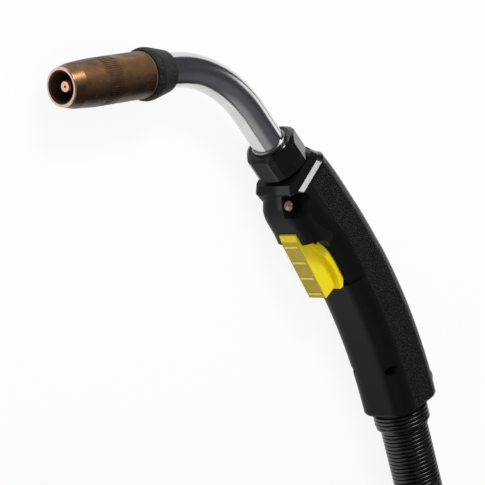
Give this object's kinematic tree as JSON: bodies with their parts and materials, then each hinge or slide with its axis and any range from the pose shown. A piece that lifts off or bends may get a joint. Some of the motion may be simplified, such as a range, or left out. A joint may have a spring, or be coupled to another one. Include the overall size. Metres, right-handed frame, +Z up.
{
  "type": "mig welding torch",
  "caption": "Hand-held wire-feed welding torch: bent steel neck with copper nozzle, black two-part handle with yellow trigger, sprung cable exit, coiled cable and plug.",
  "frame": {"origin": "centre of the locking nut's front face, on the axis of the neck's straight stretch", "axes": "+X back along that axis through the handle, -Y to the side of the trigger and the nozzle, +Z up as the torch lies on its side, square to its middle plane"},
  "size_m": [0.5308, 0.3305, 0.052],
  "materials": {
    "copper_nozzle": "aged copper plate, browned by heat",
    "copper_tip": "bright copper",
    "brass": "turned brass",
    "insulating_cap": "mottled charcoal moulding",
    "white_plastic": "heat-resistant plastic",
    "neck_steel": "polished steel",
    "grey_metal": "dull steel",
    "nut_plastic": "glossy black nylon",
    "handle_plastic": "pebbled black nylon",
    "trigger_plastic": "yellow moulding",
    "zinc": "yellowish zinc plate",
    "spring_steel": "black gloss wire",
    "cable_rubber": "black rubber jacket",
    "seal_rubber": "black rubber",
    "red_wire": "wire insulation",
    "black_plastic": "black moulding",
    "blackened_metal": "blackened brass"
  },
  "bodies": {
    "handle": {"neck_socket": "blackened_metal", "neck_seal_ring": "seal_rubber", "clamp_collet": "brass", "handle_shell_upper": "handle_plastic", "handle_shell_lower": "handle_plastic", "front_screw": "zinc", "front_screw_nut": "zinc", "rear_screw": "zinc", "rear_screw_nut": "zinc", "trigger_pin": "grey_metal", "switch_housing": "black_plastic", "switch_terminal_a": "brass", "switch_terminal_b": "brass", "trigger_lead_a": "red_wire", "trigger_lead_b": "red_wire", "cable_inner": "cable_rubber", "cable_run": "cable_rubber", "cable_coil": "cable_rubber", "strain_relief_bush": "black_plastic", "cable_stud": "brass", "crimp_ferrule": "copper_tip", "strain_relief_spring": "spring_steel", "plug_boot": "cable_rubber", "plug_cover": "black_plastic", "plug_body": "black_plastic", "plug_snap_ring": "spring_steel", "plug_nipple": "brass", "plug_pin_a": "brass", "plug_pin_b": "brass"},
    "neck": {"neck_jacket": "neck_steel", "neck_insulation": "white_plastic", "neck_conductor": "copper_tip", "neck_liner": "grey_metal", "neck_ferrule": "grey_metal", "nozzle_end_cap": "insulating_cap", "gas_diffuser": "brass"},
    "nozzle": {"nozzle_shell": "copper_nozzle", "nozzle_insulator": "white_plastic", "nozzle_insert": "brass"},
    "tip": {"contact_tip": "copper_tip"},
    "nut": {"locking_nut": "nut_plastic"},
    "trigger": {"trigger": "trigger_plastic"},
    "plunger": {"switch_plunger": "white_plastic"},
    "plug_ring": {"plug_ring": "nut_plastic"}
  },
  "joints": [
    {"name": "trigger_pull", "type": "hinge", "parent": "handle", "child": "trigger", "pos_m": [0.05, -0.0225, 0], "axis": [0, 0, 1], "range_deg": [0, 4], "stiffness_Nm_per_rad": 2, "springref_deg": -1.72},
    {"name": "plunger_press", "type": "slide", "parent": "handle", "child": "plunger", "axis": [0, 1, 0], "range_m": [0, 0.00118]},
    {"name": "nut_turn", "type": "hinge", "parent": "handle", "child": "nut", "pos_m": [0.008, 0, 0], "axis": [1, 0, 0], "range_deg": [0, 180]},
    {"name": "neck_swivel", "type": "hinge", "parent": "handle", "child": "neck", "pos_m": [0, 0, 0], "axis": [1, 0, 0], "continuous": true},
    {"name": "nozzle_off", "type": "slide", "parent": "neck", "child": "nozzle", "axis": [-0.6157, -0.788, 0], "range_m": [0, 0.065]},
    {"name": "tip_out", "type": "slide", "parent": "neck", "child": "tip", "axis": [-0.6157, -0.788, 0], "range_m": [0, 0.04]},
    {"name": "plug_ring_turn", "type": "hinge", "parent": "handle", "child": "plug_ring", "pos_m": [0.03396, -0.26756, 0.0087], "axis": [-0.9905, 0.1378, 0], "continuous": true}
  ],
  "couplings": [
    {"joint": "plunger_press", "follows": "trigger_pull", "m_per_rad": 0.0168}
  ]
}
